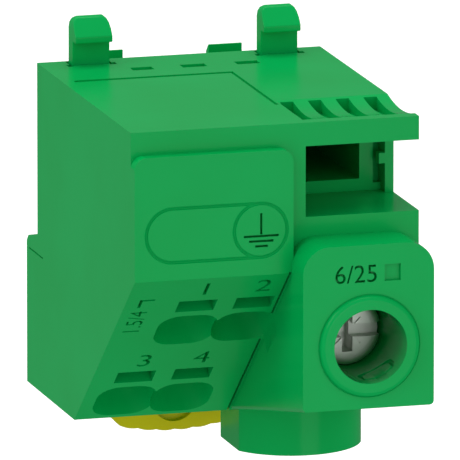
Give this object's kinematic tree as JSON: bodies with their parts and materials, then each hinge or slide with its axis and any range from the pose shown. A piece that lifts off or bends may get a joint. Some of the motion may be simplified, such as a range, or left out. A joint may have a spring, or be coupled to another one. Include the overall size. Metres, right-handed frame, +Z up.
{
  "type": "din rail terminal block",
  "caption": "Protective-earth terminal block that clips on a 35 mm rail, with push-in terminals on a sloped front and one large screw clamp fed from below.",
  "frame": {"origin": "middle of the foot's rail face, where the block rests against the rail flange, half way across its width", "axes": "+Y into the rail, away from the terminals; +Z up along the rail's height; +X along the rail"},
  "size_m": [0.036, 0.0584, 0.0537],
  "materials": {
    "green_plastic": "smooth moulded polyamide, semi-gloss",
    "yellow_plastic": "smooth moulded polyamide, semi-gloss",
    "plated_steel": "zinc plated, bright",
    "spring_steel": "stainless spring strip",
    "tinned_copper": "tin plated, satin"
  },
  "bodies": {
    "housing": {"housing_shell": "green_plastic", "rear_cover": "green_plastic", "latch_spring": "spring_steel", "screw_washer": "plated_steel", "earth_busbar": "tinned_copper", "contact_bar_upper": "tinned_copper", "contact_bar_lower": "tinned_copper", "clamp_spring_1": "spring_steel", "clamp_spring_2": "spring_steel", "clamp_spring_3": "spring_steel", "clamp_spring_4": "spring_steel"},
    "latch": {"rail_latch": "yellow_plastic"},
    "screw": {"terminal_screw": "plated_steel"},
    "cage": {"clamp_cage": "plated_steel"},
    "hook_left": {"snap_hook_left": "green_plastic"},
    "hook_right": {"snap_hook_right": "green_plastic"},
    "tongue_1": {"clamp_tongue_1": "spring_steel"},
    "tongue_2": {"clamp_tongue_2": "spring_steel"},
    "tongue_3": {"clamp_tongue_3": "spring_steel"},
    "tongue_4": {"clamp_tongue_4": "spring_steel"}
  },
  "joints": [
    {"name": "latch_slide", "type": "slide", "parent": "housing", "child": "latch", "axis": [0, 0, -1], "range_m": [0, 0.0035], "stiffness_N_per_m": 900, "springref_m": -0.002, "deforming": ["latch_spring"]},
    {"name": "screw_turn", "type": "hinge", "parent": "housing", "child": "screw", "pos_m": [0.00975, -0.0375, 0.0035], "axis": [0, 1, 0], "range_deg": [0, 2881]},
    {"name": "cage_slide", "type": "slide", "parent": "housing", "child": "cage", "axis": [0, -1, 0], "range_m": [0, 0.008]},
    {"name": "hook_left_flex", "type": "hinge", "parent": "housing", "child": "hook_left", "pos_m": [-0.01185, -0.0066, 0.0296], "axis": [-1, 0, 0], "range_deg": [0, 8], "stiffness_Nm_per_rad": 0.4},
    {"name": "hook_right_flex", "type": "hinge", "parent": "housing", "child": "hook_right", "pos_m": [0.01205, -0.0066, 0.0296], "axis": [-1, 0, 0], "range_deg": [0, 8], "stiffness_Nm_per_rad": 0.4},
    {"name": "tongue_1_flex", "type": "hinge", "parent": "housing", "child": "tongue_1", "pos_m": [-0.0088, -0.03642, 0.01642], "axis": [1, 0, 0], "range_deg": [0, 34], "stiffness_Nm_per_rad": 0.3, "springref_deg": -11.46},
    {"name": "tongue_2_flex", "type": "hinge", "parent": "housing", "child": "tongue_2", "pos_m": [-0.0016, -0.03642, 0.01642], "axis": [1, 0, 0], "range_deg": [0, 34], "stiffness_Nm_per_rad": 0.3, "springref_deg": -11.46},
    {"name": "tongue_3_flex", "type": "hinge", "parent": "housing", "child": "tongue_3", "pos_m": [-0.0126, -0.02256, 0.00478], "axis": [1, 0, 0], "range_deg": [0, 34], "stiffness_Nm_per_rad": 0.3, "springref_deg": -11.46},
    {"name": "tongue_4_flex", "type": "hinge", "parent": "housing", "child": "tongue_4", "pos_m": [-0.0054, -0.02256, 0.00478], "axis": [1, 0, 0], "range_deg": [0, 34], "stiffness_Nm_per_rad": 0.3, "springref_deg": -11.46}
  ],
  "couplings": [
    {"joint": "screw_turn", "follows": "cage_slide", "rad_per_m": 6283.2}
  ]
}
